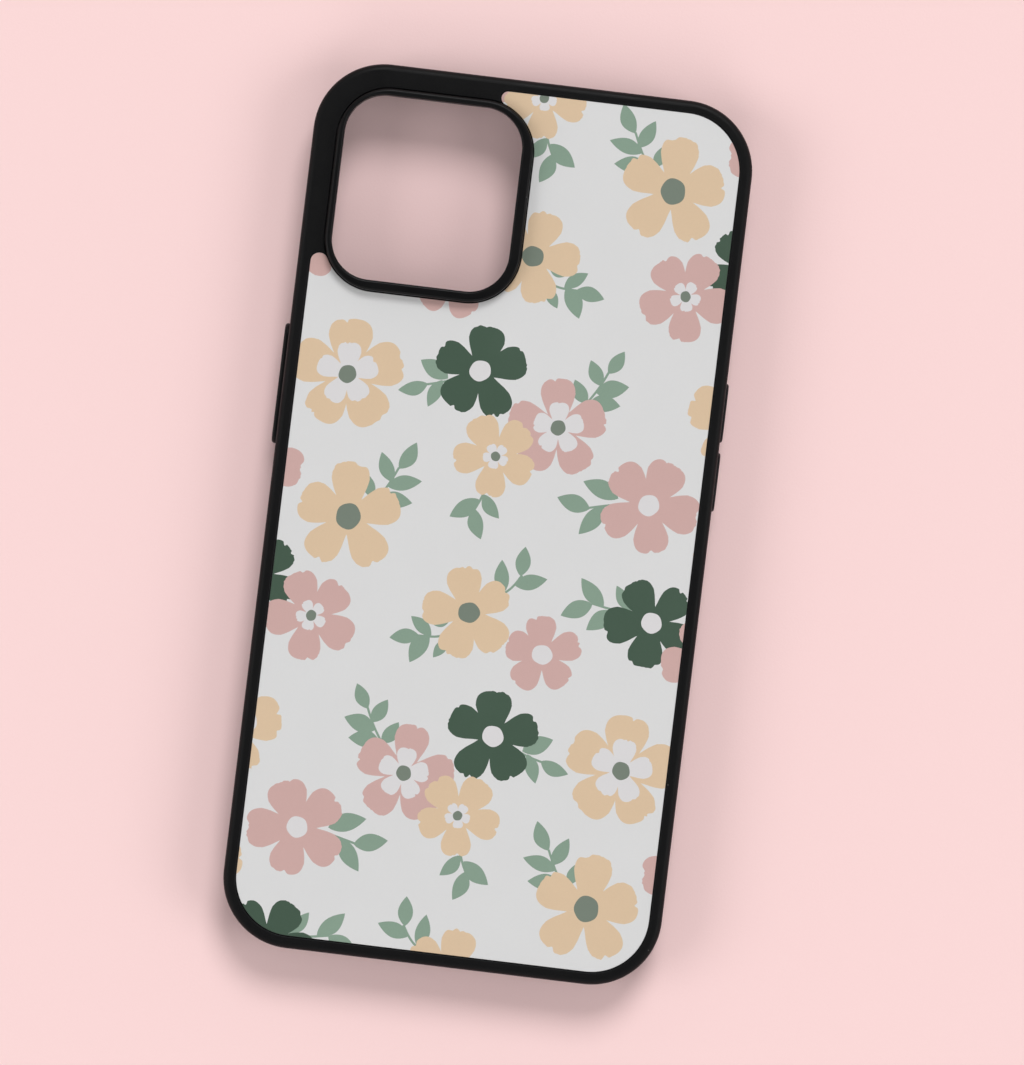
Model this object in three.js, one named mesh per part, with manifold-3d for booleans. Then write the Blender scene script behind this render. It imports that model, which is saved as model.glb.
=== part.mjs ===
// Protective back case for a 6.7-inch phone, lying with its back up.
// Millimetres, +Z up. The origin is the centre of the case's footprint, on the
// plane that the front lip rests on. Looking down at the back, +X is to the right
// and +Y points to the camera end.
//
// The case is a soft bumper frame with a hard back panel held in a groove of it.
// A printed metal insert is glued into the shallow pocket over the panel, a raised
// guard rings the camera window, and each side button of the phone has a cap on a
// thin flexing web.

import * as THREE from 'three';
import { LoftGeometry } from 'three/addons/geometries/LoftGeometry.js';
import { mergeVertices } from 'three/addons/utils/BufferGeometryUtils.js';
import Module from 'manifold-3d';

const wasm = await Module();
wasm.setup();

// ---------------------------------------------------------------------------
// Driving dimensions
// ---------------------------------------------------------------------------

// The phone that the case is made for
const PHONE_WIDTH = 78.1;
const PHONE_LENGTH = 160.8;
const PHONE_THICKNESS = 7.65;
const PHONE_CORNER_RADIUS = 11.4;
const FIT_GAP = 0.1;

// Bumper frame
const WALL = 1.5;
const LIP_HEIGHT = 1.2;
const LIP_REACH = 1.1;
const LIP_EDGE_RADIUS = 0.4;
const BOTTOM_FILLET = 1.4;
const TOP_FILLET = 1.2;
const RIM_WIDTH = 2.2;
const RIM_CHAMFER = 0.15;
const RIM_PROUD = 0.2;

// Back panel and the groove that holds it
const PANEL_THICKNESS = 1.2;
const GROOVE_DEPTH = 0.7;
const PANEL_EDGE_GAP = 0.3;

// Glued-in insert
const ADHESIVE_THICKNESS = 0.15;
const ADHESIVE_INSET = 0.6;
const INSERT_THICKNESS = 0.5;
const INSERT_GAP = 0.15;
const SIDE_TIP_RADIUS = 1.65;
const TOP_TIP_RADIUS = 1.3;

// Camera window and the guard round it
const WINDOW_WIDTH = 32.85;
const WINDOW_LENGTH = 34.15;
const WINDOW_CENTRE = new THREE.Vector2(-18.425, 59.125);
const WINDOW_RADIUS = 7.4;
const GUARD_HEIGHT = 1.9;
const GUARD_RADIUS = 9.5;
const GUARD_BAND = { left: 1.25, right: 2.1, bottom: 1.9, top: 1.3 };
const GUARD_OUTER_FILLET = 0.55;
const GUARD_INNER_FILLET = 0.45;
const GUARD_SKIRT = 0.6;
const GUARD_GAP = 0.2;

// Buttons: a cap in a window of the wall, on a web let into the wall's inner face
const BUTTON_HEIGHT = 4.4;
const BUTTON_END_FLAT = 0.1;
const BUTTON_GAP = 0.35;
const BUTTON_EDGE_RADIUS = 0.5;
const WEB_FLANGE = 0.5;
const WEB_MEMBRANE = 0.4;
const WEB_GAP = 0.2;
const WEB_MARGIN_Y = 0.47;
const WEB_MARGIN_Z = 1.0;
const WEB_CORNER_RADIUS = 1.5;
const RELIEF_INSET = 0.55;
const BUTTONS = [
  { name: 'power_button', side: -1, y: 21.35, length: 22.3, proud: 0.9 },
  { name: 'volume_up_button', side: 1, y: 25.6, length: 11, proud: 0.5 },
  { name: 'volume_down_button', side: 1, y: 12.75, length: 11, proud: 0.5 },
];

// Cut-outs in the walls
const SWITCH_SLOT = { y: 41.8, length: 11.6, height: 5.8, radius: 2.2 };
const PORT_SLOT = { x: 0, length: 13, height: 6.2, radius: 2.4 };
const SOUND_SLOT = { x: 16.6, length: 12, height: 2.4, radius: 1.15 };

// Smoothness
const CORNER_STEPS = 14;
const FILLET_STEPS = 4;
const ARC_STEPS = 7;

// ---------------------------------------------------------------------------
// Sizes worked out from them
// ---------------------------------------------------------------------------

const HALF_X = PHONE_WIDTH / 2 + FIT_GAP + WALL;
const HALF_Y = PHONE_LENGTH / 2 + FIT_GAP + WALL;
const OUTER_RADIUS = PHONE_CORNER_RADIUS + FIT_GAP + WALL;
const PHONE_MID_Z = LIP_HEIGHT + PHONE_THICKNESS / 2;
const PANEL_Z = LIP_HEIGHT + PHONE_THICKNESS + FIT_GAP;
const POCKET_Z = PANEL_Z + PANEL_THICKNESS;
const INSERT_Z = POCKET_Z + ADHESIVE_THICKNESS;
const RIM_Z = INSERT_Z + INSERT_THICKNESS + RIM_PROUD;
const GUARD_Z = RIM_Z + GUARD_HEIGHT;
const WALL_FACE_X = HALF_X - WALL;
const WALL_FACE_Y = HALF_Y - WALL;
const CUT_MARGIN = 1;

// Rounded rectangles: the case's outline, the camera window and the guard's outline
const CASE = { x: 0, y: 0, halfX: HALF_X, halfY: HALF_Y, radius: OUTER_RADIUS };
const WINDOW = {
  x: WINDOW_CENTRE.x,
  y: WINDOW_CENTRE.y,
  halfX: WINDOW_WIDTH / 2,
  halfY: WINDOW_LENGTH / 2,
  radius: WINDOW_RADIUS,
};
const GUARD = {
  x: WINDOW.x + (GUARD_BAND.right - GUARD_BAND.left) / 2,
  y: WINDOW.y + (GUARD_BAND.top - GUARD_BAND.bottom) / 2,
  halfX: WINDOW.halfX + (GUARD_BAND.left + GUARD_BAND.right) / 2,
  halfY: WINDOW.halfY + (GUARD_BAND.top + GUARD_BAND.bottom) / 2,
  radius: GUARD_RADIUS,
};

// ---------------------------------------------------------------------------
// Solids
// ---------------------------------------------------------------------------

function solidOf(geometry) {
  const bare = new THREE.BufferGeometry().copy(geometry);
  bare.deleteAttribute('normal');
  bare.deleteAttribute('uv');
  const merged = mergeVertices(bare, 1e-4);
  return new wasm.Manifold(new wasm.Mesh({
    numProp: 3,
    vertProperties: merged.attributes.position.array,
    triVerts: new Uint32Array(merged.index.array),
  }));
}

function geometryOf(solid) {
  const mesh = solid.getMesh();
  const geometry = new THREE.BufferGeometry();
  geometry.setAttribute('position', new THREE.BufferAttribute(mesh.vertProperties, 3));
  geometry.setIndex(new THREE.BufferAttribute(mesh.triVerts, 1));
  return geometry;
}

function corners(rect, grow) {
  const x = rect.halfX - rect.radius;
  const y = rect.halfY - rect.radius;
  return {
    radius: rect.radius + grow,
    centres: [[x, y], [-x, y], [-x, -y], [x, -y]].map(([dx, dy]) => [rect.x + dx, rect.y + dy]),
  };
}

// Points round a rounded rectangle grown by a margin, counterclockwise.
function ringPoints(rect, grow, steps = CORNER_STEPS) {
  const { radius, centres } = corners(rect, grow);
  const points = [];
  centres.forEach(([cx, cy], quarter) => {
    for (let step = 0; step <= steps; step += 1) {
      const angle = (quarter + step / steps) * Math.PI / 2;
      points.push([cx + radius * Math.cos(angle), cy + radius * Math.sin(angle)]);
    }
  });
  return points;
}

function ringShape(rect, grow) {
  return new THREE.Shape(ringPoints(rect, grow).map(([x, y]) => new THREE.Vector2(x, y)));
}

// A closed ring whose section is a list of { rect, grow, z }, one for each edge of it.
function ringLoft(section) {
  const rows = [...section, section[0]].map(({ rect, grow, z }) => (
    ringPoints(rect, grow).map(([x, y]) => new THREE.Vector3(x, y, z))));
  return solidOf(new LoftGeometry(rows));
}

// Quarter-circle steps of a section, from one angle to another in degrees.
function fillet(rect, centreGrow, centreZ, radius, from, to) {
  const steps = [];
  for (let step = 0; step <= FILLET_STEPS; step += 1) {
    const angle = THREE.MathUtils.degToRad(from + (to - from) * step / FILLET_STEPS);
    steps.push({
      rect,
      grow: centreGrow + radius * Math.cos(angle),
      z: centreZ + radius * Math.sin(angle),
    });
  }
  return steps;
}

function plate(shape, z, thickness) {
  const geometry = new THREE.ExtrudeGeometry(shape, {
    depth: thickness,
    bevelEnabled: false,
    curveSegments: ARC_STEPS,
  });
  return geometry.translate(0, 0, z);
}

// A block standing out along X from a rounded rectangle in the YZ plane.
function sideBlock({ y, z, halfY, halfZ, radius }, fromX, toX) {
  const rect = { x: y, y: z, halfX: halfY, halfY: halfZ, radius };
  const rows = [fromX, toX].sort((a, b) => a - b).map((x) => (
    ringPoints(rect, 0, FILLET_STEPS).map(([u, v]) => new THREE.Vector3(x, u, v))));
  return solidOf(new LoftGeometry(rows, { capStart: true, capEnd: true }));
}

// The same along Y from a rounded rectangle in the XZ plane.
function endBlock({ x, z, halfX, halfZ, radius }, fromY, toY) {
  const rect = { x, y: z, halfX, halfY: halfZ, radius };
  const rows = [toY, fromY].map((y) => (
    ringPoints(rect, 0, FILLET_STEPS).map(([u, v]) => new THREE.Vector3(u, y, v))));
  return solidOf(new LoftGeometry(rows, { capStart: true, capEnd: true }));
}

// ---------------------------------------------------------------------------
// Insert outline, shared by the insert, its adhesive and the frame's pocket
// ---------------------------------------------------------------------------

// The insert fills the pocket and is notched round the guard. Beside the guard it
// ends in two round tips, each one touching the case's rim and the guard's corner.
function insertShape(grow) {
  const halfX = HALF_X - RIM_WIDTH - INSERT_GAP;
  const halfY = HALF_Y - RIM_WIDTH - INSERT_GAP;
  const cornerRadius = OUTER_RADIUS - RIM_WIDTH - INSERT_GAP;
  const innerX = halfX - cornerRadius;
  const innerY = halfY - cornerRadius;
  const notch = corners(GUARD, GUARD_GAP);
  const [[rightX, topY], , [leftX, bottomY]] = notch.centres;

  const topTipY = halfY - TOP_TIP_RADIUS;
  const topReach = notch.radius + TOP_TIP_RADIUS;
  const topTipX = rightX + Math.sqrt(topReach ** 2 - (topTipY - topY) ** 2);
  const topAngle = Math.atan2(topTipY - topY, topTipX - rightX);

  const sideTipX = SIDE_TIP_RADIUS - halfX;
  const sideReach = notch.radius + SIDE_TIP_RADIUS;
  const sideTipY = bottomY - Math.sqrt(sideReach ** 2 - (leftX - sideTipX) ** 2);
  const sideAngle = Math.atan2(sideTipY - bottomY, sideTipX - leftX);

  const outer = cornerRadius + grow;
  const inner = notch.radius - grow;
  const shape = new THREE.Shape();
  shape.absarc(-innerX, -innerY, outer, Math.PI, Math.PI * 1.5, false);
  shape.absarc(innerX, -innerY, outer, Math.PI * 1.5, Math.PI * 2, false);
  shape.absarc(innerX, innerY, outer, 0, Math.PI / 2, false);
  shape.absarc(topTipX, topTipY, TOP_TIP_RADIUS + grow, Math.PI / 2, topAngle + Math.PI, false);
  shape.absarc(rightX, topY, inner, topAngle, 0, true);
  shape.absarc(rightX, bottomY, inner, 0, -Math.PI / 2, true);
  shape.absarc(leftX, bottomY, inner, -Math.PI / 2, sideAngle, true);
  shape.absarc(sideTipX, sideTipY, SIDE_TIP_RADIUS + grow, sideAngle + Math.PI, Math.PI, false);
  shape.closePath();
  return shape;
}

// ---------------------------------------------------------------------------
// Bumper frame
// ---------------------------------------------------------------------------

// Wall with its lip, panel groove and rim, swept round the case.
function bumperWall() {
  const lipEdge = -WALL - LIP_REACH;
  const grooveFace = GROOVE_DEPTH - WALL;
  return ringLoft([
    ...fillet(CASE, -BOTTOM_FILLET, BOTTOM_FILLET, BOTTOM_FILLET, -90, 0),
    ...fillet(CASE, -TOP_FILLET, RIM_Z - TOP_FILLET, TOP_FILLET, 0, 90),
    { rect: CASE, grow: RIM_CHAMFER - RIM_WIDTH, z: RIM_Z },
    { rect: CASE, grow: -RIM_WIDTH, z: RIM_Z - RIM_CHAMFER },
    { rect: CASE, grow: -RIM_WIDTH, z: POCKET_Z },
    { rect: CASE, grow: grooveFace, z: POCKET_Z },
    { rect: CASE, grow: grooveFace, z: PANEL_Z },
    { rect: CASE, grow: -WALL, z: PANEL_Z },
    { rect: CASE, grow: -WALL, z: LIP_HEIGHT },
    { rect: CASE, grow: lipEdge, z: LIP_HEIGHT },
    ...fillet(CASE, lipEdge + LIP_EDGE_RADIUS, LIP_EDGE_RADIUS, LIP_EDGE_RADIUS, 180, 270),
  ]);
}

// The rim widens over the camera corner, up to the guard and the insert's two tips.
function cameraCornerRim() {
  const depth = RIM_Z - POCKET_Z;
  const cornerX = GUARD.x + GUARD.halfX;
  const cornerY = GUARD.y - GUARD.halfY;
  const corner = new THREE.Shape();
  corner.moveTo(cornerX, cornerY);
  corner.lineTo(cornerX, HALF_Y);
  corner.lineTo(-HALF_X, HALF_Y);
  corner.lineTo(-HALF_X, cornerY);
  corner.closePath();
  const overlap = RIM_WIDTH / 2;
  const full = solidOf(plate(ringShape(CASE, -overlap), POCKET_Z, depth));
  const pocketCut = plate(insertShape(INSERT_GAP), POCKET_Z - CUT_MARGIN, depth + 2 * CUT_MARGIN);
  const guardCut = plate(ringShape(GUARD, GUARD_GAP), POCKET_Z - CUT_MARGIN, depth + 2 * CUT_MARGIN);
  return full
    .intersect(solidOf(plate(corner, POCKET_Z - CUT_MARGIN, depth + 2 * CUT_MARGIN)))
    .subtract(solidOf(pocketCut))
    .subtract(solidOf(guardCut));
}

function buttonRect(button, growY, growZ, radius) {
  return {
    y: button.y,
    z: PHONE_MID_Z,
    halfY: button.length / 2 + growY,
    halfZ: BUTTON_HEIGHT / 2 + growZ,
    radius,
  };
}

// The ends are all but half circles, with a short flat between their two corners.
function buttonRadius(grow) {
  return BUTTON_HEIGHT / 2 + grow - BUTTON_END_FLAT / 2;
}

// Window for the cap, and the rebate on the wall's inner face for the web.
function buttonCuts(button) {
  const inside = button.side * (WALL_FACE_X - CUT_MARGIN);
  const outside = button.side * (HALF_X + CUT_MARGIN);
  const rebateFace = button.side * (WALL_FACE_X + WEB_FLANGE);
  const windowRect = buttonRect(button, BUTTON_GAP, BUTTON_GAP, buttonRadius(BUTTON_GAP));
  const flangeGap = BUTTON_GAP + WEB_GAP;
  const rebateRect = buttonRect(
    button,
    flangeGap + WEB_MARGIN_Y,
    flangeGap + WEB_MARGIN_Z,
    WEB_CORNER_RADIUS + WEB_GAP,
  );
  return sideBlock(windowRect, inside, outside).add(sideBlock(rebateRect, inside, rebateFace));
}

function slotRect(slot) {
  return {
    x: slot.x,
    y: slot.y,
    z: PHONE_MID_Z,
    halfX: slot.length / 2,
    halfY: slot.length / 2,
    halfZ: slot.height / 2,
    radius: slot.radius,
  };
}

function bumperFrame() {
  let frame = bumperWall().add(cameraCornerRim());
  BUTTONS.forEach((button) => {
    frame = frame.subtract(buttonCuts(button));
  });
  frame = frame.subtract(
    sideBlock(slotRect(SWITCH_SLOT), WALL_FACE_X - CUT_MARGIN, HALF_X + CUT_MARGIN),
  );
  const endCuts = [
    PORT_SLOT,
    SOUND_SLOT,
    { ...SOUND_SLOT, x: -SOUND_SLOT.x },
  ];
  endCuts.forEach((slot) => {
    frame = frame.subtract(
      endBlock(slotRect(slot), -HALF_Y - CUT_MARGIN, CUT_MARGIN - WALL_FACE_Y),
    );
  });
  return geometryOf(frame);
}

// ---------------------------------------------------------------------------
// Back panel, adhesive, insert and camera guard
// ---------------------------------------------------------------------------

function backPanel() {
  const shape = ringShape(CASE, GROOVE_DEPTH - WALL - PANEL_EDGE_GAP);
  const hole = ringPoints(WINDOW, GUARD_SKIRT + PANEL_EDGE_GAP).reverse();
  shape.holes.push(new THREE.Path(hole.map(([x, y]) => new THREE.Vector2(x, y))));
  return plate(shape, PANEL_Z, PANEL_THICKNESS);
}

function adhesiveSheet() {
  return plate(insertShape(-ADHESIVE_INSET), POCKET_Z, ADHESIVE_THICKNESS);
}

function insertPlate() {
  return plate(insertShape(0), INSERT_Z, INSERT_THICKNESS);
}

// A raised ring on the panel, with a skirt down through the panel's window.
function cameraGuard() {
  return geometryOf(ringLoft([
    { rect: GUARD, grow: 0, z: POCKET_Z },
    ...fillet(GUARD, -GUARD_OUTER_FILLET, GUARD_Z - GUARD_OUTER_FILLET, GUARD_OUTER_FILLET, 0, 90),
    ...fillet(WINDOW, GUARD_INNER_FILLET, GUARD_Z - GUARD_INNER_FILLET, GUARD_INNER_FILLET, 90, 180),
    { rect: WINDOW, grow: 0, z: PANEL_Z },
    { rect: WINDOW, grow: GUARD_SKIRT, z: PANEL_Z },
    { rect: WINDOW, grow: GUARD_SKIRT, z: POCKET_Z },
  ]));
}

// ---------------------------------------------------------------------------
// Buttons
// ---------------------------------------------------------------------------

// Flange in the rebate, and a thin tray in the window that carries the cap. The
// hollow behind the tray clears the phone's own button.
function buttonWeb(button) {
  const innerX = button.side * WALL_FACE_X;
  const flangeX = button.side * (WALL_FACE_X + WEB_FLANGE);
  const trayX = button.side * (WALL_FACE_X + WEB_FLANGE + WEB_MEMBRANE);
  const overlapX = button.side * (WALL_FACE_X + WEB_FLANGE / 2);
  const outsideX = button.side * (WALL_FACE_X - CUT_MARGIN);
  const flange = buttonRect(
    button,
    BUTTON_GAP + WEB_MARGIN_Y,
    BUTTON_GAP + WEB_MARGIN_Z,
    WEB_CORNER_RADIUS,
  );
  const tray = buttonRect(button, 0, 0, buttonRadius(0));
  const relief = buttonRect(button, -RELIEF_INSET, -RELIEF_INSET, buttonRadius(-RELIEF_INSET));
  return geometryOf(
    sideBlock(flange, innerX, flangeX)
      .add(sideBlock(tray, overlapX, trayX))
      .subtract(sideBlock(relief, outsideX, flangeX)),
  );
}

// A long cap with rounded ends and a rounded outer edge.
function buttonCap(button) {
  const baseX = WALL_FACE_X + WEB_FLANGE + WEB_MEMBRANE;
  const faceX = HALF_X + button.proud;
  const rect = {
    x: button.y,
    y: PHONE_MID_Z,
    halfX: button.length / 2,
    halfY: BUTTON_HEIGHT / 2,
    radius: buttonRadius(0),
  };
  const edge = BUTTON_EDGE_RADIUS;
  const section = [{ grow: 0, z: baseX }, ...fillet(rect, -edge, faceX - edge, edge, 0, 90)];
  const rows = section.map(({ grow, z }) => {
    const points = ringPoints(rect, grow, CORNER_STEPS / 2);
    return points.map(([u, v]) => new THREE.Vector3(button.side * z, u, v));
  });
  if (button.side < 0) rows.reverse();
  return new LoftGeometry(rows, { capStart: true, capEnd: true });
}

// ---------------------------------------------------------------------------
// Materials and the assembled case
// ---------------------------------------------------------------------------

const softBlack = new THREE.MeshStandardMaterial({ color: 0x0a0a0a, roughness: 0.62, metalness: 0 });
const hardBlack = new THREE.MeshStandardMaterial({ color: 0x0d0d0e, roughness: 0.45, metalness: 0 });
const printedMetal = new THREE.MeshStandardMaterial({ color: 0xd8d8d8, roughness: 0.3, metalness: 0.1 });
const clearFilm = new THREE.MeshStandardMaterial({ color: 0xe8e4d8, roughness: 0.5, metalness: 0 });

function part(name, geometry, material) {
  const mesh = new THREE.Mesh(geometry, material.clone());
  mesh.name = name;
  return mesh;
}

const phoneCase = new THREE.Group();
phoneCase.add(part('bumper_frame', bumperFrame(), softBlack));
phoneCase.add(part('back_panel', backPanel(), hardBlack));
phoneCase.add(part('adhesive_sheet', adhesiveSheet(), clearFilm));
phoneCase.add(part('insert_plate', insertPlate(), printedMetal));
phoneCase.add(part('camera_guard', cameraGuard(), hardBlack));
BUTTONS.forEach((button) => {
  phoneCase.add(part(`${button.name}_web`, buttonWeb(button), softBlack));
  phoneCase.add(part(`${button.name}_cap`, buttonCap(button), softBlack));
});

export default phoneCase;
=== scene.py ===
"""A printed phone case with a soft bumper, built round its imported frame. It lies with its back up.

Pieces are drawn in millimetres and made into meshes in metres, in the frame's own axes: +X right
and +Y towards the camera end as the back is looked at, +Z out of the back.
"""
import math
import random
from collections import namedtuple
from functools import partial

import bmesh
import bpy
from mathutils import Matrix, Vector
from mathutils.geometry import delaunay_2d_cdt, tessellate_polygon


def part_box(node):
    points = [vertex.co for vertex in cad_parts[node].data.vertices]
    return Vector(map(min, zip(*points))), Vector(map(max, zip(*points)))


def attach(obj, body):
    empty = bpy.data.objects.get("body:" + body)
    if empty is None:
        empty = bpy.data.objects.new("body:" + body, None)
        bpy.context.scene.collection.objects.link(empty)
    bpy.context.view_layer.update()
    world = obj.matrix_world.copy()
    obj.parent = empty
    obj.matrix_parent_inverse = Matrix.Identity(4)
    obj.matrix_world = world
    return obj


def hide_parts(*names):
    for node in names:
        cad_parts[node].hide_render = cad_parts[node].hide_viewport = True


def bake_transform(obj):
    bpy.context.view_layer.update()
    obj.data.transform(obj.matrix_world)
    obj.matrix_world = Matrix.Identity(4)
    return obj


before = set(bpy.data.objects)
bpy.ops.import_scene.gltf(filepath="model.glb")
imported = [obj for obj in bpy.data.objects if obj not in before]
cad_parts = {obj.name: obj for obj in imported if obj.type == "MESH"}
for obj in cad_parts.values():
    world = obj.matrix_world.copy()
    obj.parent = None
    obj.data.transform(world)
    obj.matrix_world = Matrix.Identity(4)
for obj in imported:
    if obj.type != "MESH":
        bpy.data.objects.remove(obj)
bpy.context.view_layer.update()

MM = 0.001

# --- Sizes, in millimetres -------------------------------------------------

Box = namedtuple("Box", "low high")
Rect = namedtuple("Rect", "x y half_x half_y radius")


def box_mm(node):
    low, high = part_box(node)
    return Box(low / MM, high / MM)


def rect_of(box, radius):
    middle = (box.low + box.high) / 2
    half = (box.high - box.low) / 2
    return Rect(middle.x, middle.y, half.x, half.y, radius)


BUMPER = box_mm("bumper_frame")
PANEL = box_mm("back_panel")
ADHESIVE = box_mm("adhesive_sheet")
INSERT = box_mm("insert_plate")
GUARD = box_mm("camera_guard")

# Soft bumper
OUTER_RADIUS = 13.0
WALL = 1.5
LIP_HEIGHT = 1.2
LIP_REACH = 1.1
LIP_EDGE_RADIUS = 0.4
BOTTOM_FILLET = 1.4
TOP_FILLET = 1.2
RIM_EDGE_RADIUS = 0.15
GROOVE_DEPTH = 0.7
CUT_EDGE_RADIUS = 0.3
SEAM_HEIGHT = 1.85
SEAM_WIDTH = 0.16
SEAM_PROUD = 0.05
# Across the seam line: place as a share of its width, and how proud as a share of its height
SEAM_PROFILE = [(-0.5, 0), (-0.25, 0.7), (0, 1), (0.25, 0.7), (0.5, 0)]
RIM_Z = BUMPER.high.z
PHONE_THICKNESS = 7.65
PHONE_MID_Z = LIP_HEIGHT + PHONE_THICKNESS / 2

# Back panel, adhesive and insert
PANEL_EDGE_RADIUS = 0.2
PANEL_WINDOW_GAP = 0.3
ADHESIVE_INSET = 0.6
INSERT_GAP = 0.15
INSERT_EDGE = 0.06
SIDE_TIP_RADIUS = 1.65
TOP_TIP_RADIUS = 1.3
RIM_WIDTH = BUMPER.high.x - INSERT.high.x - INSERT_GAP

# Camera window and guard
GUARD_RADIUS = 9.5
GUARD_GAP = 0.2
GUARD_SKIRT = 0.6
GUARD_OUTER_FILLET = 0.55
GUARD_INNER_FILLET = 0.45
# The guard's width at its low-x and low-y sides, then at the other two
GUARD_BAND_LOW = Vector((1.25, 1.9, 0))
GUARD_BAND_HIGH = Vector((2.1, 1.3, 0))
SKIRT_EDGE_RADIUS = 0.2
WINDOW_RADIUS = 7.4
WINDOW = rect_of(Box(GUARD.low + GUARD_BAND_LOW, GUARD.high - GUARD_BAND_HIGH), WINDOW_RADIUS)

# Buttons and wall cut-outs
BUTTON_GAP = 0.35
BUTTON_END_FLAT = 0.1
BUTTON_EDGE_RADIUS = 0.5
BUTTON_DISH = 0.14
DISH_BORDER = 0.15
DISH_FLAT = 0.1
WEB_FLANGE = 0.5
WEB_GAP = 0.2
WEB_CORNER_RADIUS = 1.5
WEB_FILLET = 0.15
RELIEF_INSET = 0.55
RELIEF_CHAMFER = 0.15
WEB_HELD_TO = 0.3
# Which wall each button is in, as the sign of its x
BUTTONS = {
    "power_button": -1,
    "volume_up_button": 1,
    "volume_down_button": 1,
}
SWITCH_SLOT = Rect(41.8, PHONE_MID_Z, 5.8, 2.9, 2.2)
PORT_SLOT = Rect(0, PHONE_MID_Z, 6.5, 3.1, 2.4)
SOUND_SLOTS = [Rect(side * 16.6, PHONE_MID_Z, 6.0, 1.2, 1.15) for side in (-1, 1)]

# Smoothness
CORNER_STEPS = 24
FILLET_STEPS = 7
ARC_STEPS = 18
SLOT_STEPS = 10
DISH_STEPS = 6
SHARP_DEGREES = 30
WELD_METRES = 1e-7
CUT_MARGIN = 1

CASE = rect_of(BUMPER, OUTER_RADIUS)
GUARD_RECT = rect_of(GUARD, GUARD_RADIUS)
WALL_FACE_X = CASE.half_x - WALL
WALL_FACE_Y = CASE.half_y - WALL


# --- Outlines --------------------------------------------------------------

def arc(centre, radius, start, end, steps=ARC_STEPS):
    """Points of an arc from one angle to another, in degrees."""
    angles = [math.radians(start + (end - start) * k / steps) for k in range(steps + 1)]
    return [(centre[0] + radius * math.cos(a), centre[1] + radius * math.sin(a)) for a in angles]


def ring(rect, grow=0.0, steps=CORNER_STEPS):
    """A rounded rectangle grown by a margin, counterclockwise."""
    dx, dy = rect.half_x - rect.radius, rect.half_y - rect.radius
    points = []
    for turn, (sx, sy) in zip((0, 90, 180, 270), ((1, 1), (-1, 1), (-1, -1), (1, -1))):
        centre = (rect.x + sx * dx, rect.y + sy * dy)
        points += arc(centre, rect.radius + grow, turn, turn + 90, steps)
    return points


class Notch:
    """Where the insert is cut away round the guard, and the round tips it ends in on both sides."""

    def __init__(self):
        self.radius = GUARD_RADIUS + GUARD_GAP
        dx = GUARD_RECT.half_x - GUARD_RADIUS
        dy = GUARD_RECT.half_y - GUARD_RADIUS
        self.right_top = (GUARD_RECT.x + dx, GUARD_RECT.y + dy)
        self.right_bottom = (GUARD_RECT.x + dx, GUARD_RECT.y - dy)
        self.left_bottom = (GUARD_RECT.x - dx, GUARD_RECT.y - dy)
        self.left_top = (GUARD_RECT.x - dx, GUARD_RECT.y + dy)
        rise = INSERT.high.y - TOP_TIP_RADIUS - self.right_top[1]
        reach = self.radius + TOP_TIP_RADIUS
        self.top_angle = math.degrees(math.asin(rise / reach))
        self.top_tip = (self.right_top[0] + math.sqrt(reach ** 2 - rise ** 2), self.right_top[1] + rise)
        run = INSERT.low.x + SIDE_TIP_RADIUS - self.left_bottom[0]
        reach = self.radius + SIDE_TIP_RADIUS
        self.side_angle = -math.degrees(math.acos(run / reach))
        fall = math.sqrt(reach ** 2 - run ** 2)
        self.side_tip = (self.left_bottom[0] + run, self.left_bottom[1] - fall)


NOTCH = Notch()


def pocket_corners(grow):
    """The three round corners that the insert and its pocket have away from the camera."""
    radius = OUTER_RADIUS - RIM_WIDTH - INSERT_GAP
    dx, dy = INSERT.high.x - radius, INSERT.high.y - radius
    return (
        arc((-dx, -dy), radius + grow, 180, 270)
        + arc((dx, -dy), radius + grow, 270, 360)
        + arc((dx, dy), radius + grow, 0, 90)
    )


def insert_outline(grow=0.0):
    """The insert's edge, notched round the guard."""
    inner = NOTCH.radius - grow
    top, side = NOTCH.top_angle, NOTCH.side_angle
    return (
        pocket_corners(grow)
        + arc(NOTCH.top_tip, TOP_TIP_RADIUS + grow, 90, top + 180)
        + arc(NOTCH.right_top, inner, top, 0)[1:]
        + arc(NOTCH.right_bottom, inner, 0, -90)
        + arc(NOTCH.left_bottom, inner, -90, side)
        + arc(NOTCH.side_tip, SIDE_TIP_RADIUS + grow, side + 180, 180)[1:]
    )


def crossing(big, small, apart):
    """Angles, at the two centres, from the line of centres to where two circles cross."""
    at_big = (big ** 2 + apart ** 2 - small ** 2) / (2 * big * apart)
    at_small = (small ** 2 + apart ** 2 - big ** 2) / (2 * small * apart)
    return math.degrees(math.acos(at_big)), math.degrees(math.acos(at_small))


def rim_opening(grow=0.0):
    """The rim's inner edge, round the insert and the guard together."""
    guard = NOTCH.radius + grow
    top_tip = TOP_TIP_RADIUS + INSERT_GAP + grow
    side_tip = SIDE_TIP_RADIUS + INSERT_GAP + grow
    top_guard, top_back = crossing(guard, top_tip, NOTCH.radius + TOP_TIP_RADIUS)
    side_guard, side_back = crossing(guard, side_tip, NOTCH.radius + SIDE_TIP_RADIUS)
    top, side = NOTCH.top_angle, NOTCH.side_angle + 360
    return (
        pocket_corners(INSERT_GAP + grow)
        + arc(NOTCH.top_tip, top_tip, 90, top + 180 - top_back)
        + arc(NOTCH.right_top, guard, top + top_guard, 90)[1:]
        + arc(NOTCH.left_top, guard, 90, 180, CORNER_STEPS)
        + arc(NOTCH.left_bottom, guard, 180, side - side_guard)
        + arc(NOTCH.side_tip, side_tip, side - 180 + side_back, 180)[1:]
    )


# --- Meshes ----------------------------------------------------------------

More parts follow.
